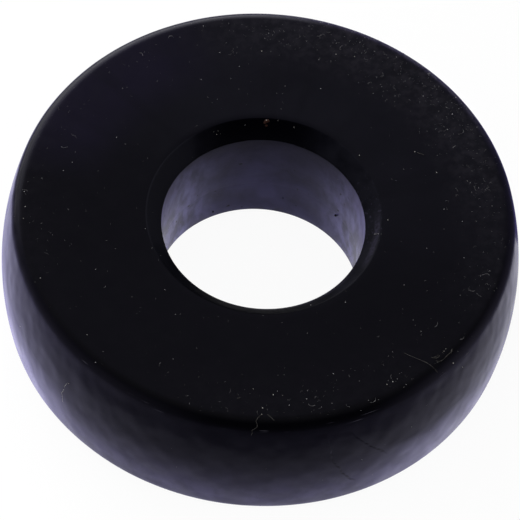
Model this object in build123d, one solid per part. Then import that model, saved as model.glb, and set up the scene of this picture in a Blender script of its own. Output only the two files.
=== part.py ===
"""Rubber buffer ring: one compression-moulded piece with a barrel side and a plain bore.

The origin is the centre of the bottom face and +Z runs up along the bore. All sizes are in
millimetres. The two ends are alike, so the ring can be fitted either way up.
"""
from build123d import *
import os

# Outer form: the side bulges from each end to its widest belly at half height.
height = 15.0            # between the two flat faces
belly_diameter = 50.8    # across the widest part of the side
end_diameter = 49.0      # across the side where it would meet a flat face, before the rim is rounded
rim_rounding = 1.35      # radius that breaks the outer corner at both ends

# Bore: a plain hole with a sloped lip at both ends that leads a bolt or spigot in.
bore_diameter = 20.0
lip_width = 1.5          # how far the lip opens out from the bore's wall, on each side
lip_depth = 1.4          # how far the lip reaches down from a flat face
lip_rounding = 0.3       # radius that softens the two edges of the lip


def ring_section():
    """Half of the ring's cross-section, in the XZ plane, from the bore out to the belly."""
    bore_radius = bore_diameter / 2
    lip_radius = bore_radius + lip_width
    end_radius = end_diameter / 2
    with BuildSketch(Plane.XZ) as section:
        with BuildLine():
            Line((lip_radius, 0), (end_radius, 0))
            ThreePointArc((end_radius, 0), (belly_diameter / 2, height / 2), (end_radius, height))
            Line((end_radius, height), (lip_radius, height))
            Line((lip_radius, height), (bore_radius, height - lip_depth))
            Line((bore_radius, height - lip_depth), (bore_radius, lip_depth))
            Line((bore_radius, lip_depth), (lip_radius, 0))
        make_face()
        by_distance = section.vertices().sort_by(Axis.X)
        rim_corners = by_distance[-2:]
        lip_corners = by_distance[:4]
        fillet(rim_corners, rim_rounding)
        fillet(lip_corners, lip_rounding)
    return section.sketch


def make_buffer_ring():
    """The whole buffer: the section turned once round the bore's axis."""
    with BuildPart() as ring:
        add(ring_section())
        revolve(axis=Axis.Z)
    return ring.part


buffer_ring = make_buffer_ring()
buffer_ring.label = "buffer_ring"

os.makedirs("parts", exist_ok=True)
export_step(buffer_ring, "parts/buffer_ring.step")

box = buffer_ring.bounding_box()
print("buffer_ring", "volume %.0f mm3" % buffer_ring.volume)
print("size %.2f x %.2f x %.2f mm" % (box.size.X, box.size.Y, box.size.Z))
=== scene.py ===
# %% [markdown]
# # A black rubber buffer ring, dressed for a close-up
# The real thing is one piece of black rubber, pressed and cured in a heated mould: a thick ring
# with two flat faces, a side that bulges a little, and a plain bore with a sloped lip. It has
# lain about, so lint, dust and one crumb of rust sit on it. The CAD model fixes its size and
# place. This script adds what a CAD solid can't hold: the uneven moulded skin, its finish and
# the dirt. The first cell loads that model and keeps its box, the yardstick for all that follows.

# %% Load the frame
import math

import bmesh
import bpy
from mathutils import Matrix, Vector


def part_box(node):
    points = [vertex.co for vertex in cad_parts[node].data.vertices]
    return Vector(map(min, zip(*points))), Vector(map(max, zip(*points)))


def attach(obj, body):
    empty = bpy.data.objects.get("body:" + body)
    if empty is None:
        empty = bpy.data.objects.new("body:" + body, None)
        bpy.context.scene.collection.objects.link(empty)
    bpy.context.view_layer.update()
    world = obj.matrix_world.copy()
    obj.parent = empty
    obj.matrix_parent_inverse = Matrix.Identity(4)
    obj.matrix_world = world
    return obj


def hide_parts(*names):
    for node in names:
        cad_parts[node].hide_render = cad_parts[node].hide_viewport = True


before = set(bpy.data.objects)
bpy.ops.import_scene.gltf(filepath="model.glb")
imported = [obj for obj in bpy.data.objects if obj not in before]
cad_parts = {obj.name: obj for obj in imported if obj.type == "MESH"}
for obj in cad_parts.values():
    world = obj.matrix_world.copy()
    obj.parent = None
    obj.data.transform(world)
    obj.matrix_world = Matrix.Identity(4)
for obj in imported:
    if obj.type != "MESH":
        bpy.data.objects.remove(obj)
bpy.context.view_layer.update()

MM = 0.001
low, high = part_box("buffer_ring")
print("CAD ring: %.1f x %.1f x %.1f mm" % tuple((high - low) / MM))

# %% [markdown]
# Four helpers save a lot of typing. Blender wants linear colour, while people write colours as
# sRGB hex, so one function turns the second into the first. A node tree, whether it shades a
# surface or builds a mesh, is a row of nodes with settings and links, so one function adds a
# node. A value for an input is a plain number or colour, an output of an earlier node, or an
# earlier node itself, which stands for its first output. The four kinds of node that come up
# most have a short name, and so has the commonest setting. The other two functions start a
# material and put a mesh, a lamp or a camera into the scene.

# %% Helpers
MATH = "ShaderNodeMath"
VECTOR_MATH = "ShaderNodeVectorMath"
MAP_RANGE = "ShaderNodeMapRange"
NOISE = "ShaderNodeTexNoise"
TIMES = {"operation": "MULTIPLY"}


def srgb(code):
    """The linear RGBA colour of an sRGB hex code such as '#202024'."""
    shares = [int(code[i:i + 2], 16) / 255 for i in (1, 3, 5)]
    return [s / 12.92 if s <= 0.04045 else ((s + 0.055) / 1.055) ** 2.4 for s in shares] + [1.0]


def add(tree, kind, inputs=None, **settings):
    """Adds one node to a tree, sets it up, fills or links its inputs, and returns the node."""
    node = tree.nodes.new(kind)
    for name, value in settings.items():
        setattr(node, name, value)
    for name, value in (inputs or {}).items():
        socket = node.inputs[name]
        if isinstance(value, bpy.types.Node):
            value = value.outputs[0]
        if isinstance(value, bpy.types.NodeSocket):
            tree.links.new(value, socket)
        else:
            socket.default_value = value
    return node


def new_material(name):
    """An empty node material and its tree."""
    material = bpy.data.materials.new(name)
    material.use_nodes = True
    material.node_tree.nodes.clear()
    return material, material.node_tree


def link_object(name, data):
    """An object for that data, at the origin, in the scene."""
    made = bpy.data.objects.new(name, data)
    bpy.context.scene.collection.objects.link(made)
    return made

# %% [markdown]
# The camera looks down at the ring from well above, along +Y, through a very long lens, so the
# near and far sides of the ring come out almost equally large. It leans a few degrees to one
# side. A camera looks along its own -Z, so its axes are worked out from that direction first
# and then turned about it. The plain Standard view shows each colour as it is.

# %% Camera
CAMERA_DISTANCE = 1500 * MM
CAMERA_ELEVATION = math.radians(55.9)
CAMERA_LEAN = math.radians(5.25)
CAMERA_LENS_MM = 1056.3
AIM = Vector((0, 0, 7.25 * MM))

backwards = Vector((0, -math.cos(CAMERA_ELEVATION), math.sin(CAMERA_ELEVATION)))
camera_data = bpy.data.cameras.new("camera")
camera_data.lens = CAMERA_LENS_MM
camera_data.sensor_width = 36
camera_data.clip_start = 0.1
camera_data.clip_end = 20
camera = link_object("camera", camera_data)
camera.matrix_world = (
    Matrix.Translation(AIM + backwards * CAMERA_DISTANCE)
    @ backwards.to_track_quat("Z", "Y").to_matrix().to_4x4()
    @ Matrix.Rotation(CAMERA_LEAN, 4, "Z")
)
bpy.context.scene.camera = camera
bpy.context.scene.view_settings.view_transform = "Standard"
print("camera %.2f m away" % CAMERA_DISTANCE)

# %% [markdown]
# The studio is a sheet of white board in soft light from all round, which is the world. The
# board's glow is for camera, glossy and transmission rays, and a share of it stays plain lit
# board, which keeps the ring's faint shadow.

# %% Light and board
WORLD_LEVEL = 1.0
BOARD_GLOW_SHARE = 0.94
BOARD_REACH = 10.0
BOARD_GAP = 0.02 * MM

world = bpy.data.worlds.new("soft_white_studio")
world.use_nodes = True
world.node_tree.nodes.clear()
sky = {"Color": srgb("#ffffff"), "Strength": WORLD_LEVEL}
sky = add(world.node_tree, "ShaderNodeBackground", sky)
add(world.node_tree, "ShaderNodeOutputWorld", {"Surface": sky})
bpy.context.scene.world = world

board_paint, tree = new_material("white_card_board")
ray = add(tree, "ShaderNodeLightPath").outputs
seen = ray["Is Camera Ray"]
for kind in ("Is Glossy Ray", "Is Transmission Ray"):
    seen = add(tree, MATH, {0: seen, 1: ray[kind]}, operation="MAXIMUM")
share = add(tree, MATH, {0: seen, 1: BOARD_GLOW_SHARE}, **TIMES)
matt = add(tree, "ShaderNodeBsdfDiffuse", {"Color": srgb("#f6f6f7")})
glow = add(tree, "ShaderNodeEmission", {"Color": srgb("#ffffff"), "Strength": 1.0})
mixed = add(tree, "ShaderNodeMixShader", {0: share, 1: matt, 2: glow})
add(tree, "ShaderNodeOutputMaterial", {"Surface": mixed})

board_corners = [(x * BOARD_REACH, y * BOARD_REACH, -BOARD_GAP)
                 for x, y in ((-1, -1), (1, -1), (1, 1), (-1, 1))]
board_mesh = bpy.data.meshes.new("board")
board_mesh.from_pydata(board_corners, [], [(0, 1, 2, 3)])
board = link_object("board", board_mesh)
board.data.materials.append(board_paint)
print("board: %.0f m wide" % (2 * BOARD_REACH))

# %% [markdown]
# Black and grey cards shape what the ring reflects, as in any product studio. A grey one lies
# round the ring, a little way off, and dims what the side mirrors. At the back right a black
# one lies closer and another stands behind it, which takes the shine off the rim there.
# Reflections alone see them, so the camera never meets them, and from below they let light
# through, so that the board under them stays lit.

# %% Cards
FLOOR_CARD_REACH = 400 * MM
FLOOR_CARD_STEPS = 48
GREY_CARD_HOLE = 37 * MM
GREY_CARD_HEIGHT = 0.05 * MM
BLACK_CARD_HOLE = 28 * MM
BLACK_CARD_HEIGHT = 0.1 * MM
BLACK_CARD_TURN = (20, 84)
WALL_CARD_DISTANCE = 90 * MM
WALL_CARD_HEIGHT = 110 * MM
WALL_CARD_TURN = (2, 86)
WALL_CARD_STEPS = 24


def lay_card(name, edges, turn, steps, paint):
    """A card for reflections only, between two azimuths and two (radius, height) edges."""
    angles = [math.radians(turn[0] + (turn[1] - turn[0]) * i / steps) for i in range(steps + 1)]
    points = [(r * math.cos(a), r * math.sin(a), z) for a in angles for r, z in edges]
    mesh = bpy.data.meshes.new(name)
    mesh.from_pydata(points, [], [(2 * i, 2 * i + 1, 2 * i + 3, 2 * i + 2) for i in range(steps)])
    mesh.materials.append(paint)
    card = link_object(name, mesh)
    card.visible_camera = False
    card.visible_shadow = False
    return card


def card_paint(name, code):
    """Plain matt card of one colour that lets light through from below, so the board stays lit."""
    material, tree = new_material(name)
    matt = add(tree, "ShaderNodeBsdfDiffuse", {"Color": srgb(code)})
    clear = add(tree, "ShaderNodeBsdfTransparent")
    back = add(tree, "ShaderNodeNewGeometry").outputs["Backfacing"]
    both = add(tree, "ShaderNodeMixShader", {0: back, 1: matt, 2: clear})
    add(tree, "ShaderNodeOutputMaterial", {"Surface": both})
    return material


black_paint = card_paint("black_card", "#101010")
grey_paint = card_paint("grey_card", "#bcbcbc")
grey_edges = [(GREY_CARD_HOLE, GREY_CARD_HEIGHT), (FLOOR_CARD_REACH, GREY_CARD_HEIGHT)]
back_edges = [(BLACK_CARD_HOLE, BLACK_CARD_HEIGHT), (FLOOR_CARD_REACH, BLACK_CARD_HEIGHT)]
wall_edges = [(WALL_CARD_DISTANCE, 0), (WALL_CARD_DISTANCE, WALL_CARD_HEIGHT)]
lay_card("grey_card", grey_edges, (0, 360), FLOOR_CARD_STEPS, grey_paint)
lay_card("back_card", back_edges, BLACK_CARD_TURN, FLOOR_CARD_STEPS, black_paint)
wall_card = lay_card("wall_card", wall_edges, WALL_CARD_TURN, WALL_CARD_STEPS, black_paint)
wall_card.visible_shadow = True
print("the standing card is %.0f mm high" % (WALL_CARD_HEIGHT / MM))

# %% [markdown]
# A wide soft lamp stands low behind the ring, to the left, and draws a pale line along the far
# rim. Its power follows from how bright its face should be and how large it is.

# %% Lamp
BACK_LAMP_DISTANCE = 1100 * MM
BACK_LAMP_AZIMUTH = 120
BACK_LAMP_ELEVATION = 20
BACK_LAMP_SIZE = (1270 * MM, 840 * MM)
BACK_LAMP_RADIANCE = 5.5

azimuth = math.radians(BACK_LAMP_AZIMUTH)
elevation = math.radians(BACK_LAMP_ELEVATION)
flat = math.cos(elevation)
lamp_aim = Vector((flat * math.cos(azimuth), flat * math.sin(azimuth), math.sin(elevation)))
lamp_place = lamp_aim * BACK_LAMP_DISTANCE
lamp_turn = lamp_place.to_track_quat("Z", "Y").to_matrix().to_4x4()
lamp_data = bpy.data.lights.new("back_softbox", "AREA")
lamp_data.shape = "RECTANGLE"
lamp_data.size, lamp_data.size_y = BACK_LAMP_SIZE
lamp_data.energy = BACK_LAMP_RADIANCE * math.pi * BACK_LAMP_SIZE[0] * BACK_LAMP_SIZE[1]
lamp = link_object("back_softbox", lamp_data)
lamp.matrix_world = Matrix.Translation(lamp_place) @ lamp_turn
lamp.visible_camera = False
print("lamp power %.1f W" % lamp_data.energy)

# %% [markdown]
# The ring is a cross-section turned once round the bore, which is a rule and so a job for
# Geometry Nodes. The section is a closed line of points: straight runs for the faces, the bore
# and its lips, and arcs for the rims and the bulged side. Its sizes are the CAD model's.

# %% Section of the ring
HEIGHT = high.z - low.z
BELLY_RADIUS = (high.x - low.x) / 2
END_RADIUS = 24.5 * MM
RIM_ROUNDING = 1.35 * MM
BORE_RADIUS = 10 * MM
LIP_WIDTH = 1.5 * MM
LIP_DEPTH = 1.4 * MM
LIP_ROUNDING = 0.3 * MM
RIM_STEPS = 10
LIP_STEPS = 4
SLOPE_STEPS = 3
SIDE_STEPS = 26
FACE_STEPS = 18
BORE_STEPS = 14

bulge = BELLY_RADIUS - END_RADIUS
SIDE_ARC_RADIUS = ((HEIGHT / 2) ** 2 + bulge ** 2) / (2 * bulge)
SIDE_ARC_CENTRE = BELLY_RADIUS - SIDE_ARC_RADIUS


def arc_points(centre, radius, start, end, steps):
    """Points on an arc in the (outward, up) plane, both ends included. Angles are in radians."""
    angles = [start + (end - start) * i / steps for i in range(steps + 1)]
    return [(centre[0] + radius * math.cos(a), centre[1] + radius * math.sin(a)) for a in angles]


def straight_points(start, end, steps):
    """Points strictly between two points, evenly spaced."""
    run, rise = end[0] - start[0], end[1] - start[1]
    shares = [i / steps for i in range(1, steps)]
    return [(start[0] + run * s, start[1] + rise * s) for s in shares]


print("the side bulges by %.2f mm" % (bulge / MM))

# %% [markdown]
# Only the upper half is worked out, and the lower one is its mirror image. Each corner is
# rounded by an arc that touches both of its neighbours, found from the two directions that meet
# there. At the rim one neighbour is itself an arc, so the centre of the rounding lies where it
# is as far from the face as from that arc.

# %% Put the section together
def half_section():
    """The upper half, from the bore's middle to the side's, with heights above the middle."""
    top = HEIGHT / 2
    slope = math.atan2(LIP_DEPTH, LIP_WIDTH)
    face_trim = LIP_ROUNDING * math.tan(slope / 2)
    bore_trim = LIP_ROUNDING * math.tan((math.pi / 2 - slope) / 2)
    bore_centre = (BORE_RADIUS + LIP_ROUNDING, top - LIP_DEPTH - bore_trim)
    face_centre = (BORE_RADIUS + LIP_WIDTH + face_trim, top - LIP_ROUNDING)
    rim_height = top - RIM_ROUNDING
    rim_reach = math.sqrt((SIDE_ARC_RADIUS - RIM_ROUNDING) ** 2 - rim_height ** 2)
    rim_angle = math.atan2(rim_height, rim_reach)
    rim_centre = (SIDE_ARC_CENTRE + rim_reach, rim_height)
    lip_angle = math.pi / 2 + slope
    bore_mouth = arc_points(bore_centre, LIP_ROUNDING, math.pi, lip_angle, LIP_STEPS)
    face_mouth = arc_points(face_centre, LIP_ROUNDING, lip_angle, math.pi / 2, LIP_STEPS)
    rim = arc_points(rim_centre, RIM_ROUNDING, math.pi / 2, rim_angle, RIM_STEPS)
    side = arc_points((SIDE_ARC_CENTRE, 0), SIDE_ARC_RADIUS, rim_angle, 0, SIDE_STEPS // 2)
    bore_middle = (BORE_RADIUS, 0)
    return (
        straight_points(bore_middle, bore_mouth[0], BORE_STEPS // 2)
        + bore_mouth
        + straight_points(bore_mouth[-1], face_mouth[0], SLOPE_STEPS)
        + face_mouth
        + straight_points(face_mouth[-1], rim[0], FACE_STEPS)
        + rim
        + side[1:-1]
    )


def whole_section():
    """The closed section: the upper half, the same half mirrored, and both middle points."""
    upper = half_section()
    lower = [(r, -z) for r, z in reversed(upper)]
    return [(BORE_RADIUS, 0)] + upper + [(BELLY_RADIUS, 0)] + lower


section = whole_section()
print("section: %d points" % len(section))

# %% [markdown]
# The tree sweeps that section round a circle and then presses the result slightly out of true,
# as a real moulded ring is: a slow waviness of a few hundredths of a millimetre, from a noise
# pattern that depends on the place alone. The sweep measures the section's first axis outwards
# and its second axis downwards, so heights go in with their sign turned. The result is baked to
# a plain mesh.

# %% Turn the section into the ring
TURN_STEPS = 360
WAVE_SIZE = 9.0 * MM
WAVE_DEPTH = 0.05 * MM


def geometry_tree(name, sizes):
    """A Geometry Nodes tree with a geometry input, a geometry output and named number inputs."""
    tree = bpy.data.node_groups.new(name, "GeometryNodeTree")
    tree.interface.new_socket("Geometry", in_out="INPUT", socket_type="NodeSocketGeometry")
    for size in sizes:
        tree.interface.new_socket(size, in_out="INPUT", socket_type="NodeSocketFloat")
    tree.interface.new_socket("Geometry", in_out="OUTPUT", socket_type="NodeSocketGeometry")
    return tree, add(tree, "NodeGroupInput").outputs


def bake_tree(source, tree, sizes, name):
    """Runs the tree on an object and returns its result as a new object with a plain mesh."""
    modifier = source.modifiers.new(tree.name, "NODES")
    modifier.node_group = tree
    for item in tree.interface.items_tree:
        if item.in_out == "INPUT" and item.name in sizes:
            modifier[item.identifier] = float(sizes[item.name])
    depsgraph = bpy.context.evaluated_depsgraph_get()
    mesh = bpy.data.meshes.new_from_object(source.evaluated_get(depsgraph))
    source.modifiers.remove(modifier)
    mesh.name = name
    return link_object(name, mesh)


def ring_tree(side, bore, lip):
    """Sweeps a section round a circle, makes it faintly wavy and gives each zone its finish."""
    sizes = ["Sweep radius", "Middle height", "Wave size", "Wave depth"]
    sizes += ["Bore radius", "Lip reach", "Lip height"]
    tree, given = geometry_tree("turned_ring", sizes)
    line = add(tree, "GeometryNodeMeshToCurve", {"Mesh": given["Geometry"]})
    turn = {"Radius": given["Sweep radius"], "Resolution": TURN_STEPS}
    circle = add(tree, "GeometryNodeCurvePrimitiveCircle", turn).outputs["Curve"]
    swept = add(tree, "GeometryNodeCurveToMesh", {"Curve": circle, "Profile Curve": line})
    lift = add(tree, "ShaderNodeCombineXYZ", {"Z": given["Middle height"]})
    placed = add(tree, "GeometryNodeSetPosition", {"Geometry": swept, "Offset": lift})
    place = add(tree, "GeometryNodeInputPosition")
    normal = add(tree, "GeometryNodeInputNormal")
    fineness = add(tree, MATH, {0: 1.0, 1: given["Wave size"]}, operation="DIVIDE")
    noise = add(tree, NOISE, {"Vector": place, "Scale": fineness, "Detail": 1.5})
    centred = add(tree, MATH, {0: noise, 1: 0.5}, operation="SUBTRACT")
    depth = add(tree, MATH, {0: centred, 1: given["Wave depth"]}, **TIMES)
    push = add(tree, VECTOR_MATH, {0: normal, "Scale": depth}, operation="SCALE")
    wavy = add(tree, "GeometryNodeSetPosition", {"Geometry": placed, "Offset": push})
    smooth = add(tree, "GeometryNodeSetShadeSmooth", {"Geometry": wavy})
    painted = add(tree, "GeometryNodeRealizeInstances", {"Geometry": smooth})
    split = add(tree, "ShaderNodeSeparateXYZ", {0: place}).outputs
    level = add(tree, "ShaderNodeCombineXYZ", {"X": split["X"], "Y": split["Y"]})
    radius = add(tree, VECTOR_MATH, {0: level}, operation="LENGTH").outputs["Value"]
    near, inside = [
        add(tree, MATH, {0: radius, 1: given[reach]}, operation="LESS_THAN")
        for reach in ("Lip reach", "Bore radius")
    ]
    raised = add(tree, MATH, {0: split["Z"], 1: given["Lip height"]}, operation="GREATER_THAN")
    on_lip = add(tree, MATH, {0: near, 1: raised}, **TIMES)
    for rubber, zone in ((side, True), (bore, inside), (lip, on_lip)):
        painted = add(tree, "GeometryNodeSetMaterial",
                      {"Geometry": painted, "Selection": zone, "Material": rubber})
    add(tree, "NodeGroupOutput", {"Geometry": painted})
    return tree


# %% [markdown]
# Dust, haze and scuffs don't cover the ring evenly: they lie in patches, each between two radii
# and round one direction from the bore. One helper describes such a patch with soft edges, and
# another takes the strongest of several. They use only nodes that shaders and Geometry Nodes
# share, so the same patch can tint the rubber and later decide where dust grains lie. Lengths
# in them are millimetres, and a place is an azimuth, a spread and two radii.

# %% Patches
SOFT = {"interpolation_type": "SMOOTHSTEP"}
SECTOR_EDGE = (1.5, 0.3)  # shares of the spread at which a patch has faded out and is full
INNER_EDGE = (-3.5, 2.5)  # mm past the inner radius at which it starts and is full
OUTER_EDGE = (-0.7, 0.6)  # mm past the outer radius at which it falls off and ends
DUSTY_PLACES = [
    (55, 46, (20.0, 24.0)),
    (8, 26, (21.5, 24.0)),
    (290, 34, (20.0, 24.0)),
    (165, 40, (22.0, 24.0)),
]
VEIL_WEIGHTS = (1.0, 0.5, 0.12, 0.15)
GRAIN_WEIGHTS = (1.0, 0.8, 0.5, 0.35)


def in_mm(tree, place):
    """A place in millimetres, from one in metres."""
    return add(tree, VECTOR_MATH, {0: place, "Scale": 1 / MM}, operation="SCALE")


def polar(tree, place):
    """Splits a place in metres into its direction from the axis, radius and height in mm."""
    scaled = in_mm(tree, place)
    split = add(tree, "ShaderNodeSeparateXYZ", {0: scaled}).outputs
    level = add(tree, "ShaderNodeCombineXYZ", {"X": split["X"], "Y": split["Y"]})
    radius = add(tree, VECTOR_MATH, {0: level}, operation="LENGTH").outputs["Value"]
    direction = add(tree, VECTOR_MATH, {0: level}, operation="NORMALIZE")
    return {"mm": scaled, "direction": direction, "radius": radius, "height": split["Z"]}


def band(tree, value, start, full, fall, end):
    """1 between full and fall, 0 outside start and end, soft in between."""
    rise = add(tree, MAP_RANGE, {0: value, 1: start, 2: full}, **SOFT)
    drop = add(tree, MAP_RANGE, {0: value, 1: fall, 2: end, 3: 1.0, 4: 0.0}, **SOFT)
    return add(tree, MATH, {0: rise, 1: drop}, **TIMES)


def patch(tree, spot, azimuth, spread, radii):
    """A soft patch round one azimuth, spread degrees to each side, between two radii."""
    angle = math.radians(azimuth)
    aim = {0: spot["direction"], 1: (math.cos(angle), math.sin(angle), 0)}
    aim = add(tree, VECTOR_MATH, aim, operation="DOT_PRODUCT").outputs["Value"]
    outside, inside = [math.cos(math.radians(spread * share)) for share in SECTOR_EDGE]
    sector = add(tree, MAP_RANGE, {0: aim, 1: outside, 2: inside}, **SOFT)
    edges = [radii[0] + gap for gap in INNER_EDGE] + [radii[1] + gap for gap in OUTER_EDGE]
    ring_band = band(tree, spot["radius"], *edges)
    return add(tree, MATH, {0: sector, 1: ring_band}, **TIMES)


def strongest(tree, spot, weighted_places):
    """The strongest of some patches at each place, each times its own weight."""
    level = 0.0
    for weight, place in weighted_places:
        here = patch(tree, spot, *place)
        here = add(tree, MATH, {0: here, 1: weight}, **TIMES)
        level = add(tree, MATH, {0: level, 1: here}, operation="MAXIMUM")
    return level


print("dusty patches: %d" % len(DUSTY_PLACES))

# %% [markdown]
# The ring is natural black rubber, its colour from carbon black, cured in a steel mould that
# gives it a closed matt skin. Straight on, such a skin gives almost no light back. Along it, a
# fine bloom of wax scatters a violet-grey sheen, so the sides pale as they turn away. That is
# why the specular level is low and its tint dark, and why the sheen does most of the work. The
# skin is never flat either: it has orange peel from the mould and a fine grain. Each zone adds
# its own marks, laid over the black one after the other, and its own relief.

# %% Rubber skin
BLACK = "#020201"
RUBBER_IOR = 1.52
BLOOM_ROUGHNESS = 0.35
PEEL_SIZE = 1.8
PEEL_DEPTH = 0.012 * MM
GRAIN_SIZE = 0.25
GRAIN_DEPTH = 0.003 * MM


def paint_over(tree, colour, marks):
    """Lays tones over a colour, one after the other, each as strongly as its share says."""
    for share, tone in marks:
        layers = {0: share, 6: colour, 7: srgb(tone)}
        colour = add(tree, "ShaderNodeMix", layers, data_type="RGBA").outputs[2]
    return colour


def rubber_shader(tree, spot, colour, patchy, reliefs, finish):
    """Black rubber of one colour, with relief, and a finish: gloss, tint, bloom and roughness."""
    skin = add(tree, "ShaderNodeNewGeometry").outputs["Normal"]
    for size, depth in ((PEEL_SIZE, PEEL_DEPTH), (GRAIN_SIZE, GRAIN_DEPTH)):
        bumps = {"Vector": spot["mm"], "Scale": 1 / size, "Detail": 2.0}
        reliefs = reliefs + [(add(tree, NOISE, bumps), depth)]
    for height, depth in reliefs:
        skin = {"Height": height, "Distance": depth, "Strength": 1.0, "Normal": skin}
        skin = add(tree, "ShaderNodeBump", skin)
    sleek, dull = finish["rough"]
    rough = add(tree, MAP_RANGE, {0: patchy, 1: 0.3, 2: 0.7, 3: sleek, 4: dull})
    shader = add(tree, "ShaderNodeBsdfPrincipled", {
        "Base Color": colour,
        "Roughness": rough,
        "Normal": skin,
        "IOR": RUBBER_IOR,
        "Specular IOR Level": finish["gloss"],
        "Specular Tint": srgb(finish["tint"]),
        "Sheen Weight": finish["bloom"],
        "Sheen Roughness": BLOOM_ROUGHNESS,
        "Sheen Tint": srgb(finish["bloom_tint"]),
    })
    add(tree, "ShaderNodeOutputMaterial", {"Surface": shader})


# %% [markdown]
# Handling and age show on the upper face. A thin film lies all over it, and it is partly painted
# light as well: it keeps the face lighter than the rim and the side, as light from above would.
# A strip beside the lip at the back has no film, which is painted shade. A haze lies on the film,
# thin and grey over the back half and a touch more violet at the back left, and it is loaded with
# fine dust in the patches above. The front of the face is nearly clean. Broad, soft clouds break
# the haze up, finer ones break up the dust, and a few faint dark streaks run out from the bore
# where something wiped it.

# %% Haze on the face
# The film is real and partly painted light: it keeps the face lighter than the rim and side.
FILM_AND_TOP_LIGHT = "#080807"
HAZE = "#0e0e10"
VIOLET_HAZE = "#110f18"
DUST = "#1c1b1e"
# No film here: painted shade in a strip beside the lip at the back.
BACK_LIP_SHADE_PLACE = (100, 40, (9.0, 11.9))
HAZE_PLACE = (68, 72, (9.0, 26.0))
VIOLET_PLACE = (140, 24, (18.0, 24.4))
FACE_EDGE = (14.7, 14.97)
CLOUD_SIZE = 6.0
CLUMP_SIZE = 1.0
WIPE_SIZE = 2.2
WIPE_RADIUS = 18.0


def hazy_face(tree, spot):
    """Upper face: a coat partly of painted light, painted shade by the lip, grey and violet hazes,
    dust.
    """
    clouds = add(tree, NOISE, {"Vector": spot["mm"], "Scale": 1 / CLOUD_SIZE, "Detail": 4.0})
    clumps = {"Vector": spot["mm"], "Scale": 1 / CLUMP_SIZE, "Detail": 6.0, "Roughness": 0.65}
    clumps = add(tree, NOISE, clumps)
    around = add(tree, VECTOR_MATH, {0: spot["direction"], "Scale": WIPE_RADIUS}, operation="SCALE")
    wipes = add(tree, NOISE, {"Vector": around, "Scale": 1 / WIPE_SIZE, "Detail": 2.0})
    face = add(tree, MAP_RANGE, {0: spot["height"], 1: FACE_EDGE[0], 2: FACE_EDGE[1]}, **SOFT)
    # Painted shade: the film leaves out a strip beside the lip at the back.
    back_lip_shade = patch(tree, spot, *BACK_LIP_SHADE_PLACE)
    film_and_top_light = add(tree, MATH, {0: 1.0, 1: back_lip_shade}, operation="SUBTRACT")
    film_and_top_light = add(tree, MATH, {0: face, 1: film_and_top_light}, **TIMES)
    # The film lightens the face against the rim and side, partly as painted light.
    marks = [(film_and_top_light, FILM_AND_TOP_LIGHT)]

    thin = add(tree, MAP_RANGE, {0: clouds, 1: 0.3, 2: 0.7, 3: 0.6, 4: 1.0})
    wiped_and_lip_shade = add(tree, MAP_RANGE, {0: wipes, 1: 0.3, 2: 0.5, 3: 0.7, 4: 1.0})
    for share in (wiped_and_lip_shade, film_and_top_light):
        thin = add(tree, MATH, {0: thin, 1: share}, **TIMES)
    for tone, place in ((HAZE, HAZE_PLACE), (VIOLET_HAZE, VIOLET_PLACE)):
        here = patch(tree, spot, *place)
        here = add(tree, MATH, {0: here, 1: thin}, **TIMES)
        marks.append((here, tone))

    veil = strongest(tree, spot, zip(VEIL_WEIGHTS, DUSTY_PLACES))
    broken = add(tree, MAP_RANGE, {0: clumps, 1: 0.4, 2: 0.66, 3: 0.2, 4: 0.9}, **SOFT)
    for share in (face, broken):
        veil = add(tree, MATH, {0: veil, 1: share}, **TIMES)
    return marks + [(veil, DUST)]


# %% [markdown]
# The side has been handled most. Its smudges are soft violet-grey blotches a few millimetres
# across, none under the rim, and they are partly painted reflection of the white floor, so they
# grow stronger towards the foot. At the right front and on the left the foot is lighter still,
# which is painted reflection of the floor too. The rim has a painted sheen at the right and at
# the left front, and a few long, thin nicks, where the rubber whitened as it was knocked. At the
# back right the rim is scuffed grey. Where a mark follows the rim, it is measured by radius less
# height, which grows from the face over the rim and down the side.

# %% Marks on the side and the rim
SIDE_EDGE = (24.1, 24.6)
OUTER_RADII = (22.0, 27.0)
# The smudge tone is partly real smudge and partly painted reflection of the white floor.
SMUDGE_AND_FLOOR_REFLECTION = "#3b3852"
FLOOR_REFLECTION_HEIGHTS = (9.8, 2.5)
# Painted reflection of the white floor on the foot, at the right front and on the left.
FOOT_FLOOR_REFLECTION = "#7d7a9a"
FOOT_REFLECTION_HEIGHTS = (8.0, 3.0)
FOOT_REFLECTION_PLACES = [(1.0, (334, 25, OUTER_RADII)), (1.0, (203, 18, OUTER_RADII))]
NICK = "#4a4852"
NICK_LENGTH = 3.4
NICK_RADIUS = 24.5
NICK_FINENESS = 8.0
NICK_RUN = (9.9, 10.3, 10.6, 11.0)
RIM_SCUFF = "#36343c"
SCUFF_PLACE = (60, 26, OUTER_RADII)
SCUFF_SIZE = 0.5
SCUFF_RUN = (8.7, 9.5, 10.3, 11.0)
# Painted sheen: a thin lightening of the rim at the right and at the left front.
RIM_SHEEN = "#1b1a20"
RIM_SHEEN_PLACES = [(0.9, (358, 42, OUTER_RADII)), (0.33, (220, 30, OUTER_RADII))]
RIM_SHEEN_RUN = (8.9, 10.0, 11.2, 12.6)


def smudges_and_floor_reflection(tree, spot, smudges, side):
    """Blotches down the side, partly painted reflection of the floor: strongest low, fading towards
    the rim.
    """
    smudge_and_reflection = add(tree, MAP_RANGE, {0: smudges, 1: 0.36, 2: 0.64, 3: 0.6, 4: 1.0}, **SOFT)
    # Stronger towards the foot: painted reflection of the white floor.
    down = add(tree, MAP_RANGE, {0: spot["height"], 1: FLOOR_REFLECTION_HEIGHTS[0], 2: FLOOR_REFLECTION_HEIGHTS[1]})
    for share in (down, down, side):
        smudge_and_reflection = add(tree, MATH, {0: smudge_and_reflection, 1: share}, **TIMES)
    return smudge_and_reflection


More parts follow.
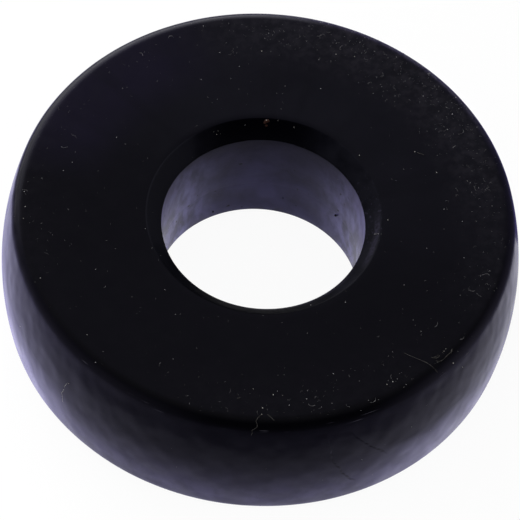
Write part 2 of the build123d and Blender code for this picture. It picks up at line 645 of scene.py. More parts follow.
def painted_foot_reflection(tree, spot, facets):
    """Painted reflection of the white floor near the foot, pale on the facets that stand proud."""
    proud = add(tree, MAP_RANGE, {0: facets, 1: 0.4, 2: 0.6, 3: 0.5, 4: 1.0})
    low_down = add(tree, MAP_RANGE, {0: spot["height"], 1: FOOT_REFLECTION_HEIGHTS[0], 2: FOOT_REFLECTION_HEIGHTS[1]})
    for share in (low_down, strongest(tree, spot, FOOT_REFLECTION_PLACES)):
        proud = add(tree, MATH, {0: proud, 1: share}, **TIMES)
    return proud


def nicked_rim(tree, spot, run):
    """Long thin nicks along the rim: a noise drawn out round the ring."""
    turn = {0: spot["direction"], "Scale": NICK_RADIUS / NICK_LENGTH}
    turn = add(tree, VECTOR_MATH, turn, operation="SCALE")
    rise = add(tree, MATH, {0: run, 1: NICK_FINENESS}, **TIMES)
    rise = add(tree, "ShaderNodeCombineXYZ", {"Z": rise})
    line = add(tree, VECTOR_MATH, {0: turn, 1: rise}, operation="ADD")
    nicks = add(tree, NOISE, {"Vector": line, "Scale": 1.0, "Detail": 1.0})
    deep = add(tree, MAP_RANGE, {0: nicks, 1: 0.7, 2: 0.8}, **SOFT)
    edge = band(tree, run, *NICK_RUN)
    return add(tree, MATH, {0: deep, 1: edge}, **TIMES)


def scuffed_rim(tree, spot, run):
    """Lumpy grey scuffs on the rim at the back right."""
    lumps = add(tree, NOISE, {"Vector": spot["mm"], "Scale": 1 / SCUFF_SIZE, "Detail": 2.0})
    lumpy = add(tree, MAP_RANGE, {0: lumps, 1: 0.35, 2: 0.65, 3: 0.25, 4: 1.0})
    here = patch(tree, spot, *SCUFF_PLACE)
    for share in (band(tree, run, *SCUFF_RUN), lumpy):
        here = add(tree, MATH, {0: here, 1: share}, **TIMES)
    return here


def painted_rim_sheen(tree, spot, run):
    """A painted sheen: a thin, even lightening of the rim on the right and at the left front."""
    sheen_share = strongest(tree, spot, RIM_SHEEN_PLACES)
    edge = band(tree, run, *RIM_SHEEN_RUN)
    return add(tree, MATH, {0: sheen_share, 1: edge}, **TIMES)


print("marks laid by hand: %d patches" % (len(FOOT_REFLECTION_PLACES) + len(RIM_SHEEN_PLACES) + 1))

# %% [markdown]
# Two thin creases run down the front: flow marks, where two fronts of rubber met in the mould.
# Each is a low step, steep on one side, with a line of painted shade along it. It starts at one
# azimuth under the rim, and the further down it goes, the further it leans or bends to one side.

# %% Creases
CREASE_DEPTH = 0.03 * MM
# The crease's line is painted shade: the rubber is darkened this much towards black there.
CREASE_SHADE = 0.75
CREASE_FADE = (1.5, 1.0)
SHADE_LINE = (-0.2, -0.02, 0.02, 0.2)  # mm across the crease, as band() takes them
LOW_STEP = (-2.5, -0.3, -0.1, 0.15)
WOBBLE_SIZE = 1.5
CREASES = [
    {"azimuth": 289.0, "lean": 0.0, "bend": 0.081, "foot": 3.5, "top": 13.3},
    {"azimuth": 293.6, "lean": 1.66, "bend": 0.0, "foot": 6.5, "top": 12.9},
]


def crease(tree, spot, line, wobble):
    """One crease's painted shade line and step. Its lean is in degrees per mm, its bend per square
    mm.
    """
    angle = math.radians(line["azimuth"])
    foot, top = line["foot"], line["top"]
    aside = {0: spot["direction"], 1: (-math.sin(angle), math.cos(angle), 0)}
    aside = add(tree, VECTOR_MATH, aside, operation="DOT_PRODUCT").outputs["Value"]
    drop = add(tree, MATH, {0: top, 1: spot["height"]}, operation="SUBTRACT")
    slope = add(tree, MATH, {0: drop, 1: line["bend"], 2: line["lean"]}, operation="MULTIPLY_ADD")
    path = add(tree, MATH, {0: drop, 1: slope}, **TIMES)
    path = add(tree, MATH, {0: path}, operation="RADIANS")
    offset = add(tree, MATH, {0: aside, 1: path}, operation="SUBTRACT")
    offset = add(tree, MATH, {0: offset, 1: BELLY_RADIUS / MM, 2: wobble}, operation="MULTIPLY_ADD")
    span = band(tree, spot["height"], foot, foot + CREASE_FADE[0], top - CREASE_FADE[1], top)
    dark, step = [
        add(tree, MATH, {0: band(tree, offset, *edges), 1: span}, **TIMES)
        for edges in (SHADE_LINE, LOW_STEP)
    ]
    # The line along the crease is painted shade.
    dark = add(tree, MATH, {0: dark, 1: CREASE_SHADE}, **TIMES)
    return dark, step


print("creases: %d" % len(CREASES))

# %% [markdown]
# Face, rim and side are one finish, so it has no seam. Under the marks the side dapples: it has
# shallow facets a few millimetres across, a little longer upright than round the ring, and the
# smudges follow the same stretch.

# %% Finish of the face and side
SMUDGE_SIZE = 2.0
FACET_SIZE = 2.5
FACET_DEPTH = 0.13 * MM
DAPPLE_STRETCH = (1.0, 1.0, 0.8)
SIDE_FINISH = {
    "gloss": 0.055,
    "tint": "#1e1c5c",
    "bloom": 0.37,
    "bloom_tint": "#a69cfb",
    "rough": (0.17, 0.27),
}


def weathered_side(name, finish):
    """Moulded rubber: hazed above, smudges and painted floor reflection, painted rim sheen and
    nicks.
    """
    material, tree = new_material(name)
    spot = polar(tree, add(tree, "ShaderNodeTexCoord").outputs["Object"])
    run = add(tree, MATH, {0: spot["radius"], 1: spot["height"]}, operation="SUBTRACT")
    side = add(tree, MAP_RANGE, {0: spot["radius"], 1: SIDE_EDGE[0], 2: SIDE_EDGE[1]}, **SOFT)
    drawn = add(tree, VECTOR_MATH, {0: spot["mm"], 1: DAPPLE_STRETCH}, **TIMES)
    smudges, facets = [
        add(tree, NOISE, {"Vector": drawn, "Scale": 1 / size, "Detail": detail})
        for size, detail in ((SMUDGE_SIZE, 3.0), (FACET_SIZE, 1.0))
    ]
    # Among these marks, the rim's sheen, the pale foot and the smudges' growth downwards are
    # painted light.
    marks = hazy_face(tree, spot) + [
        (painted_rim_sheen(tree, spot, run), RIM_SHEEN),
        (smudges_and_floor_reflection(tree, spot, smudges, side), SMUDGE_AND_FLOOR_REFLECTION),
        (painted_foot_reflection(tree, spot, facets), FOOT_FLOOR_REFLECTION),
        (nicked_rim(tree, spot, run), NICK),
        (scuffed_rim(tree, spot, run), RIM_SCUFF),
    ]
    facets = add(tree, MATH, {0: facets, 1: side}, **TIMES)
    reliefs = [(facets, FACET_DEPTH)]
    wobble = add(tree, NOISE, {"Vector": spot["mm"], "Scale": 1 / WOBBLE_SIZE, "Detail": 2.0})
    wobble = add(tree, MAP_RANGE, {0: wobble, 3: -0.5, 4: 0.5})
    for line in CREASES:
        dark, step = crease(tree, spot, line, wobble)
        marks.append((dark, BLACK))
        reliefs.append((step, CREASE_DEPTH))
    colour = paint_over(tree, srgb(BLACK), marks)
    rubber_shader(tree, spot, colour, smudges, reliefs, finish)
    return material


side_rubber = weathered_side("black_rubber_with_bloom", SIDE_FINISH)
print("finish of the side:", side_rubber.name)

# %% [markdown]
# A bolt or a pin has rubbed the bore, and scuffs run slantwise on its left and right flanks. Its
# wall is paler and more violet than the outside, partly from the scuffs and a soft mottle and
# partly from painted reflection of the white floor, which makes it palest low down and on the
# flanks. Under the top edge it stays dark. A few small spots of painted shade stand for pits, and
# with the mottle they keep it from looking turned.

# %% Finish of the bore
# The bore's paler tones are partly scuffs and partly painted reflection of the white floor.
BORE_SCUFF_AND_REFLECTION = "#4a476c"
FLANK_SCUFF_AND_REFLECTION = "#a09cdc"
BORE_REFLECTION_HEIGHTS = (13.5, 2.0)
MOTTLE_SIZE = 3.0
MOTTLE_DEPTH = 0.06 * MM
STROKE_SIZE = 1.4
STROKE_STRETCH = (1, 1, 0.55)
SLANT = math.radians(38)
PIT_SHADE_SIZE = 0.55
BORE_FINISH = {
    "gloss": 0.06,
    "tint": "#b9b0ff",
    "bloom": 0.36,
    "bloom_tint": "#beb5f6",
    "rough": (0.2, 0.5),
}


def scuffed_and_reflecting_bore(name, finish):
    """The bore's wall: mottled, slanting scuffs on the flanks, painted floor reflection and pit
    shade.
    """
    material, tree = new_material(name)
    spot = polar(tree, add(tree, "ShaderNodeTexCoord").outputs["Object"])
    slanted = {"Vector": spot["mm"], "Rotation": (0, SLANT, 0), "Scale": STROKE_STRETCH}
    slanted = add(tree, "ShaderNodeMapping", slanted)
    noises = [(spot["mm"], MOTTLE_SIZE, 3.0), (slanted, STROKE_SIZE, 3.0)]
    noises += [(spot["mm"], PIT_SHADE_SIZE, 0.0)]
    mottle, strokes, pit_shade = [
        add(tree, NOISE, {"Vector": place, "Scale": 1 / size, "Detail": detail})
        for place, size, detail in noises
    ]
    # Paler lower down: painted reflection of the white floor.
    down = {0: spot["height"], 1: BORE_REFLECTION_HEIGHTS[0], 2: BORE_REFLECTION_HEIGHTS[1], 3: 0.05, 4: 1.0}
    down = add(tree, MAP_RANGE, down)
    soft = add(tree, MAP_RANGE, {0: mottle, 1: 0.35, 2: 0.65, 3: 0.45, 4: 1.0})
    soft = add(tree, MATH, {0: soft, 1: down}, **TIMES)

    # Palest on the left and right flanks: scuffs and painted reflection.
    across = {0: spot["direction"], 1: (1, 0, 0)}
    across = add(tree, VECTOR_MATH, across, operation="DOT_PRODUCT").outputs["Value"]
    flank_scuffs_and_reflection = add(tree, MATH, {0: across, 1: across}, **TIMES)
    flank_scuffs_and_reflection = add(tree, MAP_RANGE, {0: flank_scuffs_and_reflection, 1: 0.15, 2: 0.8}, **SOFT)
    drawn = add(tree, MAP_RANGE, {0: strokes, 1: 0.4, 2: 0.64, 3: 0.2, 4: 1.0})
    for share in (drawn, down):
        flank_scuffs_and_reflection = add(tree, MATH, {0: flank_scuffs_and_reflection, 1: share}, **TIMES)
    # Painted shade: small black spots stand for shaded pits, with no depth of their own.
    pitting_and_pit_shade = add(tree, MAP_RANGE, {0: pit_shade, 1: 0.8, 2: 0.83}, **SOFT)
    marks = [(soft, BORE_SCUFF_AND_REFLECTION), (flank_scuffs_and_reflection, FLANK_SCUFF_AND_REFLECTION), (pitting_and_pit_shade, BLACK)]
    colour = paint_over(tree, srgb(BLACK), marks)
    duller = add(tree, MAP_RANGE, {0: spot["height"], 1: 3.0, 2: 13.0, 3: 0.25, 4: 0.75})
    rubber_shader(tree, spot, colour, duller, [(mottle, MOTTLE_DEPTH)], finish)
    return material


bore_rubber = scuffed_and_reflecting_bore("black_rubber_bore", BORE_FINISH)
print("finish of the bore:", bore_rubber.name)

# %% [markdown]
# The sloped lip has been rubbed bare, so it has no bloom. At the back it is left black, the
# blackest place on the ring, and nearly as black in front: painted shade. Elsewhere a thin grey
# makes it almost as light as the face, which is partly haze and partly painted light, with a film
# on it at the left. On the right some worn crumbs show, and two thin pale lines are painted
# highlights: one where the lip meets the face, one along the edge towards the bore at the front
# right.

# %% Finish of the lip
LIP_RADII = (9.0, 13.0)
LIP_BLACK = "#010102"
# The lip's grey is partly haze and partly painted light.
LIP_HAZE_AND_LIGHT = "#0f0f14"
LIP_FILM = "#15151a"
# Worn crumbs and the painted edge highlights share this tone.
LIP_WEAR_AND_HIGHLIGHT = "#25232f"
LIP_DAPPLE_SIZE = 2.0
LIP_DAPPLE_DEPTH = 0.03 * MM
WORN_CRUMB_SIZE = 0.3
# Where the lip is left black: painted shade at the back and front.
LIP_SHADE_PLACES = [(1.0, (96, 30, LIP_RADII)), (0.85, (262, 46, LIP_RADII))]
FILM_PLACE = (170, 28, LIP_RADII)
WORN_PLACE = (10, 20, LIP_RADII)
# Painted highlights along the lip's edge at the face and its edge at the bore.
LIP_EDGE_HIGHLIGHTS = [
    {"radii": (10.75, 11.0, 11.3, 11.5), "place": (352, 13, LIP_RADII)},
    {"radii": (9.8, 9.9, 10.3, 10.6), "place": (296, 30, LIP_RADII)},
]
LIP_FINISH = {
    "gloss": 0.012,
    "tint": "#8079b0",
    "bloom": 0.0,
    "bloom_tint": "#beb5f6",
    "rough": (0.4, 0.5),
}


def rubbed_lip(name, finish):
    """The lip: painted shade at back and front, part painted light elsewhere, crumbs and painted
    highlights at right.
    """
    material, tree = new_material(name)
    spot = polar(tree, add(tree, "ShaderNodeTexCoord").outputs["Object"])
    mottle, specks = [
        add(tree, NOISE, {"Vector": spot["mm"], "Scale": 1 / size, "Detail": detail})
        for size, detail in ((LIP_DAPPLE_SIZE, 3.0), (WORN_CRUMB_SIZE, 2.0))
    ]
    # Painted shade: no grey at the back and front of the lip.
    wiped_and_lip_shade = strongest(tree, spot, LIP_SHADE_PLACES)
    lip_haze_and_light = add(tree, MATH, {0: 1.0, 1: wiped_and_lip_shade}, operation="SUBTRACT")
    mottled = add(tree, MAP_RANGE, {0: mottle, 1: 0.3, 2: 0.7, 3: 0.6, 4: 1.3})
    lip_haze_and_light = add(tree, MATH, {0: lip_haze_and_light, 1: mottled}, **TIMES)

    # Painted highlights along the lip's edges, broken up by specks.
    edge_highlights = 0.0
    for line in LIP_EDGE_HIGHLIGHTS:
        here = {0: band(tree, spot["radius"], *line["radii"]), 1: patch(tree, spot, *line["place"])}
        here = add(tree, MATH, here, **TIMES)
        edge_highlights = add(tree, MATH, {0: edge_highlights, 1: here}, operation="MAXIMUM")
    patchy = add(tree, MAP_RANGE, {0: specks, 1: 0.35, 2: 0.65, 3: 0.1, 4: 0.7})
    edge_highlights = add(tree, MATH, {0: edge_highlights, 1: patchy}, **TIMES)
    crumbs = add(tree, MAP_RANGE, {0: specks, 1: 0.61, 2: 0.7, 4: 0.7}, **SOFT)
    crumbs = add(tree, MATH, {0: crumbs, 1: patch(tree, spot, *WORN_PLACE)}, **TIMES)
    wear_and_highlights = add(tree, MATH, {0: crumbs, 1: edge_highlights}, operation="MAXIMUM")
    marks = [(lip_haze_and_light, LIP_HAZE_AND_LIGHT), (patch(tree, spot, *FILM_PLACE), LIP_FILM), (wear_and_highlights, LIP_WEAR_AND_HIGHLIGHT)]
    colour = paint_over(tree, srgb(LIP_BLACK), marks)
    rubber_shader(tree, spot, colour, mottle, [(mottle, LIP_DAPPLE_DEPTH)], finish)
    return material


lip_rubber = rubbed_lip("black_rubber_rubbed_bare", LIP_FINISH)
print("finish of the lip:", lip_rubber.name)

# %% [markdown]
# Now the section goes through the tree and comes out as the ring. It stands in for the CAD
# model's ring, which is hidden, and rides on the root body. The bore's and the lip's finish
# start a hair outside their true radius, so that the wavy surface never falls back into the
# side's finish there.

# %% Build the ring
ZONE_MARGIN = 0.1 * MM

section_mesh = bpy.data.meshes.new("ring_section")
section_points = [(r - BORE_RADIUS, -z, 0) for r, z in section]
count = len(section_points)
section_mesh.from_pydata(section_points, [(i, (i + 1) % count) for i in range(count)], [])
section_line = link_object("ring_section", section_mesh)
ring_sizes = {
    "Sweep radius": BORE_RADIUS,
    "Middle height": (low.z + high.z) / 2,
    "Wave size": WAVE_SIZE,
    "Wave depth": WAVE_DEPTH,
    "Bore radius": BORE_RADIUS + ZONE_MARGIN / 2,
    "Lip reach": BORE_RADIUS + LIP_WIDTH + ZONE_MARGIN,
    "Lip height": high.z - LIP_DEPTH - ZONE_MARGIN,
}
turned_ring = ring_tree(side_rubber, bore_rubber, lip_rubber)
ring = bake_tree(section_line, turned_ring, ring_sizes, "rubber_ring")
bpy.data.objects.remove(section_line)
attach(ring, "root")
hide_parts("buffer_ring")
print("ring: %d faces" % len(ring.data.polygons))

# %% [markdown]
# Household dust is skin, fibre and grit. Most of it is pale, but these grains are so small, and
# so caked with soot and rubber, that they read as dim grey. One noise gives each grain a tone
# of its own, and a finer one gives it a crust that has no shine.

# %% Finish of the dust
TONE_SIZE = 0.3
CRUST_SIZE = 0.03
CRUST_DEPTH = 0.01 * MM


def dull_dust(name, dark, pale):
    """Dull dust whose tone differs from grain to grain."""
    material, tree = new_material(name)
    mm = in_mm(tree, add(tree, "ShaderNodeTexCoord").outputs["Object"])
    tone = add(tree, NOISE, {"Vector": mm, "Scale": 1 / TONE_SIZE, "Detail": 0.0})
    tone = add(tree, MAP_RANGE, {0: tone, 1: 0.3, 2: 0.75})
    crust = add(tree, NOISE, {"Vector": mm, "Scale": 1 / CRUST_SIZE})
    shader = add(tree, "ShaderNodeBsdfPrincipled", {
        "Base Color": paint_over(tree, srgb(dark), [(tone, pale)]),
        "Roughness": add(tree, MAP_RANGE, {0: crust, 3: 0.75, 4: 0.95}),
        "Normal": add(tree, "ShaderNodeBump", {"Height": crust, "Distance": CRUST_DEPTH}),
        "Specular IOR Level": 0.2,
    })
    add(tree, "ShaderNodeOutputMaterial", {"Surface": shader})
    return material


dust_paint = dull_dust("sooty_house_dust", "#444345", "#b3b1b2")
lint_paint = dull_dust("grey_cotton_lint", "#3a393b", "#807e80")
print("dust: %s and %s" % (dust_paint.name, lint_paint.name))

# %% [markdown]
# Dust lies singly all over the upper face and thicker in clumps inside the dusty patches, where
# fine curls of lint join it. It is thin on the side and in the bore, and there is none on the
# underside, where the ring stood. A patch times a noise says how thick it lies at each place.

# %% Where the dust lies
DUST_CLUMP_SIZE = 1.6
SIDE_SHARE = 0.2
FACE_HEIGHTS = (14.5, 14.9)
FOOT_CLEAR_HEIGHTS = (0.3, 0.6)


def dust_share(tree, spot, floor):
    """How thick the dust lies: a little everywhere, most in clumps in patches, none below."""
    clumps = add(tree, NOISE, {"Vector": spot["mm"], "Scale": 1 / DUST_CLUMP_SIZE, "Detail": 4.0})
    clumps = add(tree, MAP_RANGE, {0: clumps, 1: 0.49, 2: 0.6, 3: 0.08, 4: 1.0})
    share = strongest(tree, spot, zip(GRAIN_WEIGHTS, DUSTY_PLACES))
    share = add(tree, MATH, {0: share, 1: clumps}, **TIMES)
    share = add(tree, MATH, {0: share, 1: floor}, operation="ADD")
    for heights, least in ((FACE_HEIGHTS, SIDE_SHARE), (FOOT_CLEAR_HEIGHTS, 0.0)):
        here = add(tree, MAP_RANGE, {0: spot["height"], 1: heights[0], 2: heights[1], 3: least})
        share = add(tree, MATH, {0: share, 1: here}, **TIMES)
    return share


print("on the side: %.0f%% as much dust as above" % (100 * SIDE_SHARE))

# %% [markdown]
# Geometry Nodes scatter both over the baked ring, because thousands of copies that follow a rule
# are their kind of job. Small grains are far more common than large ones, as a power law says,
# so a random share is raised to a negative power and times the least size. Each copy gets its
# own stretch and turn, and the seeds are fixed.

# %% Scatter dust and lint
SIZE_POWER = 2.6
BEAD_HEIGHTS = (13.4, 14.2, 14.9, 15.1)
LEAST_STRETCH, GREATEST_STRETCH = (0.55, 0.5, 0.4), (1.35, 1.1, 0.9)
LEAST_TURN, GREATEST_TURN = (-0.4, -0.4, -3.14), (0.4, 0.4, 3.14)


def scatter(tree, given, piece, share, seed):
    """Scatters copies of a piece over a surface, skewed to small ones, and makes them real."""
    amount = add(tree, MATH, {0: given["Pieces per square metre"], 1: share}, **TIMES)
    points = add(tree, "GeometryNodeDistributePointsOnFaces",
                 {"Mesh": given["Geometry"], "Density": amount, "Seed": seed})
    least, greatest = given["Least size"], given["Greatest size"]
    ratio = add(tree, MATH, {0: least, 1: greatest}, operation="DIVIDE")
    rarest = add(tree, MATH, {0: ratio, 1: SIZE_POWER}, operation="POWER")
    luck = {2: rarest, "Seed": seed + 1}
    luck = add(tree, "FunctionNodeRandomValue", luck, data_type="FLOAT").outputs[1]
    growth = add(tree, MATH, {0: luck, 1: -1 / SIZE_POWER}, operation="POWER")
    size = add(tree, MATH, {0: growth, 1: least}, **TIMES)
    stretch = {0: LEAST_STRETCH, 1: GREATEST_STRETCH, "Seed": seed + 2}
    stretch = add(tree, "FunctionNodeRandomValue", stretch, data_type="FLOAT_VECTOR")
    scale = add(tree, VECTOR_MATH, {0: stretch, "Scale": size}, operation="SCALE")
    spin = {0: LEAST_TURN, 1: GREATEST_TURN, "Seed": seed + 3}
    spin = add(tree, "FunctionNodeRandomValue", spin, data_type="FLOAT_VECTOR")
    spin = add(tree, "FunctionNodeEulerToRotation", {0: spin})
    copies = {"Points": points, "Instance": piece, "Rotation": spin, "Scale": scale}
    copies = add(tree, "GeometryNodeInstanceOnPoints", copies)
    return add(tree, "GeometryNodeRealizeInstances", {"Geometry": copies})


def grain_shape(tree, given):
    """A coarse ball, which its stretch makes a crumb. It needs no size of its own."""
    return add(tree, "GeometryNodeMeshIcoSphere", {"Radius": 1.0, "Subdivisions": 1})


def curl_shape(tree, given):
    """A short curled fibre."""
    arc = {"Resolution": 7, "Radius": 1.0, "Sweep Angle": 2.4}
    arc = add(tree, "GeometryNodeCurveArc", arc).outputs["Curve"]
    outline = {"Resolution": 4, "Radius": given["Thickness"]}
    outline = add(tree, "GeometryNodeCurvePrimitiveCircle", outline).outputs["Curve"]
    tube = {"Curve": arc, "Profile Curve": outline, "Fill Caps": True}
    return add(tree, "GeometryNodeCurveToMesh", tube)


def litter_tree(name, sizes, shape, material, seed):
    """Scatters one shape over the upper face and, where asked, along the scuffed rim."""
    tree, given = geometry_tree(name, sizes)
    spot = polar(tree, add(tree, "GeometryNodeInputPosition"))
    share = dust_share(tree, spot, given["Least share"])
    beads = patch(tree, spot, *SCUFF_PLACE)
    for factor in (band(tree, spot["height"], *BEAD_HEIGHTS), given["Share on scuffed rim"]):
        beads = add(tree, MATH, {0: beads, 1: factor}, **TIMES)
    share = add(tree, MATH, {0: share, 1: beads}, operation="MAXIMUM")
    pieces = scatter(tree, given, shape(tree, given), share, seed)
    painted = add(tree, "GeometryNodeSetMaterial", {"Geometry": pieces, "Material": material})
    add(tree, "NodeGroupOutput", {"Geometry": painted})
    return tree


# %% [markdown]
# The grains are balls of only 20 faces, the curls thin tubes along an arc. Both trees have the
# same inputs, save for the thickness of a curl, which is a share of its size. Grains also lie
# like beads along the scuffed rim at the back right.

# %% Dust and lint
def ride_along(piece):
    """Lets a piece ride on the ring's body and says how many faces it has."""
    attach(piece, "root")
    print("%s: %d faces" % (piece.name, len(piece.data.polygons)))


GRAIN_SIZES = {
    "Pieces per square metre": 4.0e6,
    "Least size": 0.017 * MM,
    "Greatest size": 0.065 * MM,
    "Least share": 0.045,
    "Share on scuffed rim": 1.0,
}
CURL_SIZES = {
    "Pieces per square metre": 2.3e6,
    "Least size": 0.14 * MM,
    "Greatest size": 0.6 * MM,
    "Least share": 0.004,
    "Share on scuffed rim": 0.0,
    "Thickness": 0.035,
}
grains = litter_tree("dust_grains", GRAIN_SIZES, grain_shape, dust_paint, 11)
ride_along(bake_tree(ring, grains, GRAIN_SIZES, "dust_grains"))
curls = litter_tree("lint_curls", CURL_SIZES, curl_shape, lint_paint, 41)
ride_along(bake_tree(ring, curls, CURL_SIZES, "lint_curls"))

# %% [markdown]
# A few larger things catch the eye, and they lie where they were found: a long bent lint fibre
# near the front right rim, a tangle of short ones beside it, a fibre hanging over the front
# rim, and white ones stuck to the lower left side and across the lip at the right. A fibre is
# a thin tube along a smooth curve that a few points lead. Points are written as azimuth, radius
# and height, because on a ring that says at once where on the surface a thing lies.

# %% Fibres
FIBRE_RADIUS = 0.012
FINE_FIBRE_RADIUS = 0.009


def ring_point(azimuth, radius, height):
    """A point in metres from an azimuth in degrees, a radius and a height in mm."""
    angle = math.radians(azimuth)
    return Vector((radius * math.cos(angle), radius * math.sin(angle), height)) * MM


def fibre_mesh(name, strands, thickness):
    """One mesh of tubes, each along a smooth curve led by its points, with closed ends."""
    curve = bpy.data.curves.new(name, "CURVE")
    curve.dimensions = "3D"
    curve.bevel_depth = thickness * MM
    curve.bevel_resolution = 1
    curve.use_fill_caps = True
    curve.resolution_u = 6
    for strand in strands:
        spline = curve.splines.new("NURBS")
        spline.points.add(len(strand) - 1)
        for point, place in zip(spline.points, strand):
            point.co = (*ring_point(*place), 1.0)
        spline.order_u = 3
        spline.use_endpoint_u = True
    holder = bpy.data.objects.new(name, curve)
    mesh = bpy.data.meshes.new_from_object(holder)
    bpy.data.objects.remove(holder)
    mesh.name = name
    return mesh


LONG_FIBRE = [
    [(315.4, 20.8, 15.03), (316.1, 21.7, 15.16), (317.1, 22.45, 15.1), (317.8, 23.3, 15.14),
     (318.1, 24.0, 14.95), (318.2, 24.45, 14.7)],
]
TANGLE = [
    [(319.8, 23.5, 15.02), (320.3, 23.8, 14.98), (321.4, 23.9, 15.0), (322.9, 23.85, 15.05),
     (324.2, 23.9, 15.02), (325.0, 23.7, 15.03)],
    [(324.1, 23.95, 14.95), (324.3, 23.75, 15.05), (324.7, 23.9, 14.98)],
    [(319.7, 22.9, 15.02), (320.3, 23.3, 15.03), (321.0, 23.4, 15.02), (321.6, 23.3, 15.02)],
    [(320.3, 23.05, 15.02), (320.9, 23.25, 15.05), (321.4, 23.15, 15.02)],
    [(326.9, 24.85, 14.05), (327.6, 24.83, 14.1), (328.3, 24.86, 14.0)],
]
FRONT_FIBRES = [
    [(273.8, 23.3, 15.02), (272.9, 23.7, 15.04), (272.4, 24.1, 14.95), (272.9, 24.4, 14.8),
     (272.7, 24.62, 14.6), (272.1, 24.7, 14.5), (271.6, 24.8, 14.3), (271.9, 24.86, 14.0),
     (271.6, 24.9, 13.6)],
    [(275.1, 23.3, 15.02), (276.0, 23.6, 15.03), (276.7, 23.95, 14.95)],
    [(268.2, 21.5, 15.02), (267.7, 21.7, 15.04), (267.4, 21.65, 15.02)],
    [(32.4, 17.05, 15.02), (31.8, 17.2, 15.04), (31.2, 17.4, 15.03), (30.6, 17.55, 15.02)],
]
WHITE_FIBRES = [
    [(355.7, 11.66, 15.02), (356.1, 11.3, 14.86), (356.8, 10.9, 14.47)],
    [(226.0, 25.36, 9.8), (225.5, 25.42, 9.3), (225.35, 25.44, 8.8)],
    [(225.2, 25.44, 8.4), (225.05, 25.44, 7.9), (224.6, 25.44, 7.4)],
    [(224.5, 25.44, 7.5), (225.0, 25.44, 7.1), (225.15, 25.42, 6.1)],
]


def lay(name, mesh, paint):
    """Paints a mesh, puts it into the scene and lets it ride on the ring's body."""
    mesh.materials.append(paint)
    ride_along(link_object(name, mesh))


dim_lint = dull_dust("dim_cotton_lint", "#33312f", "#595653")
white_lint = dull_dust("white_cotton_lint", "#8d8b88", "#cfcdc9")
fibre_sets = (("long_fibre", LONG_FIBRE), ("fibre_tangle", TANGLE), ("front_fibres", FRONT_FIBRES))
for name, strands in fibre_sets:
    lay(name, fibre_mesh(name, strands, FIBRE_RADIUS), dim_lint)
lay("white_fibres", fibre_mesh("white_fibres", WHITE_FIBRES, FINE_FIBRE_RADIUS), white_lint)

# %% [markdown]
# Single crumbs of grit are brighter than the dust round them, and a few scraps of torn rubber
# cling to the wall of the bore. Each is a small ball, squashed and turned, with a place and a
# radius of its own in the lists.

# %% Crumbs and scraps
CRUMB_SQUASH = (1.0, 0.8, 0.6)
CRUMBS = [
    (322.9, 24.65, 14.45, 0.075), (323.2, 23.3, 15.02, 0.05), (324.0, 23.25, 15.02, 0.04),
    (306.0, 22.8, 15.02, 0.065), (307.7, 22.8, 15.02, 0.055), (274.0, 22.55, 15.02, 0.07),
    (273.8, 23.3, 15.02, 0.05), (271.4, 20.4, 15.02, 0.045), (276.8, 21.0, 15.02, 0.05),
    (279.2, 21.1, 15.02, 0.04), (33.0, 16.9, 15.02, 0.07), (226.5, 25.38, 10.0, 0.06),
    (325.7, 24.95, 12.7, 0.045), (87.5, 11.45, 14.98, 0.03), (78.9, 11.2, 14.75, 0.03),
    (119.5, 10.9, 14.45, 0.035), (118.2, 11.1, 14.65, 0.022), (117.4, 10.85, 14.4, 0.02),
    (120.6, 11.15, 14.68, 0.02), (43.0, 12.0, 15.02, 0.055), (4.0, 12.15, 15.02, 0.06),
    (23.0, 17.9, 15.02, 0.05), (17.9, 20.55, 15.02, 0.045), (95.0, 19.6, 15.02, 0.05),
    (74.3, 20.75, 15.02, 0.05), (69.5, 21.25, 15.02, 0.045), (51.4, 24.0, 15.0, 0.06),
    (42.3, 24.0, 15.0, 0.06), (93.15, 11.32, 15.05, 0.05), (122.4, 9.96, 3.4, 0.04),
    (183.7, 23.4, 15.02, 0.05), (187.1, 23.6, 15.02, 0.05), (204.7, 23.3, 15.02, 0.055),
    (224.6, 22.6, 15.02, 0.045),
]
SCRAPS = [
    (44.9, 9.94, 5.9, 0.15), (43.6, 9.97, 6.2, 0.07),
    (120.5, 9.96, 2.3, 0.1), (80.2, 9.97, 4.0, 0.08),
]


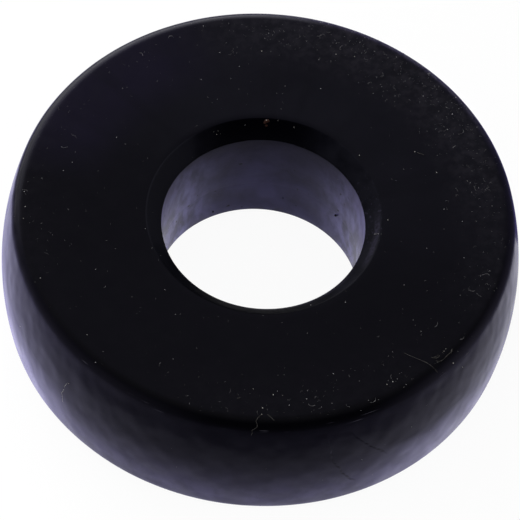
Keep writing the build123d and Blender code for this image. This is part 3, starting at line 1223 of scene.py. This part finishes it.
def crumb_mesh(name, places):
    """One mesh of small lumps, each an icosphere of its own radius, squashed a little."""
    shape = bmesh.new()
    squash = Matrix.Diagonal((*CRUMB_SQUASH, 1.0))
    for azimuth, radius, height, size in places:
        turn = Matrix.Rotation(azimuth * radius, 4, "Z")
        place = Matrix.Translation(ring_point(azimuth, radius, height)) @ turn @ squash
        bmesh.ops.create_icosphere(shape, subdivisions=2, radius=size * MM, matrix=place)
    mesh = bpy.data.meshes.new(name)
    shape.to_mesh(mesh)
    shape.free()
    return mesh


pale_grit = dull_dust("pale_grit", "#65625e", "#a5a39e")
torn_rubber = dull_dust("torn_black_rubber", "#050505", "#18171c")
lay("single_crumbs", crumb_mesh("single_crumbs", CRUMBS), pale_grit)
lay("rubber_scraps", crumb_mesh("rubber_scraps", SCRAPS), torn_rubber)

# %% [markdown]
# One crumb has another colour: a flake of rust, off the bolt or the bracket that the ring sat
# on, caught where the lip meets the face. It is a lump of dark brown flakes, some of them a
# little lighter and redder, with the dull, pitted surface of rust.

# %% Rust crumb
DARK_RUST = "#120605"
RED_RUST = "#2c170e"
FLAKE_SIZE = 0.15
FLAKE_DEPTH = 0.05 * MM
RUST_FLAKES = [
    (93.1, 11.3, 14.93, 0.23),
    (93.8, 11.2, 14.84, 0.19),
    (92.4, 11.35, 14.93, 0.2),
    (93.1, 11.0, 14.62, 0.16),
]

rust_paint, tree = new_material("flaky_rust")
mm = in_mm(tree, add(tree, "ShaderNodeTexCoord").outputs["Object"])
flakes = add(tree, NOISE, {"Vector": mm, "Scale": 1 / FLAKE_SIZE, "Detail": 3.0})
redder = add(tree, MAP_RANGE, {0: flakes, 1: 0.35, 2: 0.65})
pitting_and_pit_shade = {"Height": flakes, "Distance": FLAKE_DEPTH, "Strength": 1.0}
shader = add(tree, "ShaderNodeBsdfPrincipled", {
    "Base Color": paint_over(tree, srgb(DARK_RUST), [(redder, RED_RUST)]),
    "Roughness": add(tree, MAP_RANGE, {0: flakes, 3: 0.8, 4: 1.0}),
    "Normal": add(tree, "ShaderNodeBump", pitting_and_pit_shade),
    "Specular IOR Level": 0.1,
})
add(tree, "ShaderNodeOutputMaterial", {"Surface": shader})
lay("rust_crumb", crumb_mesh("rust_crumb", RUST_FLAKES), rust_paint)
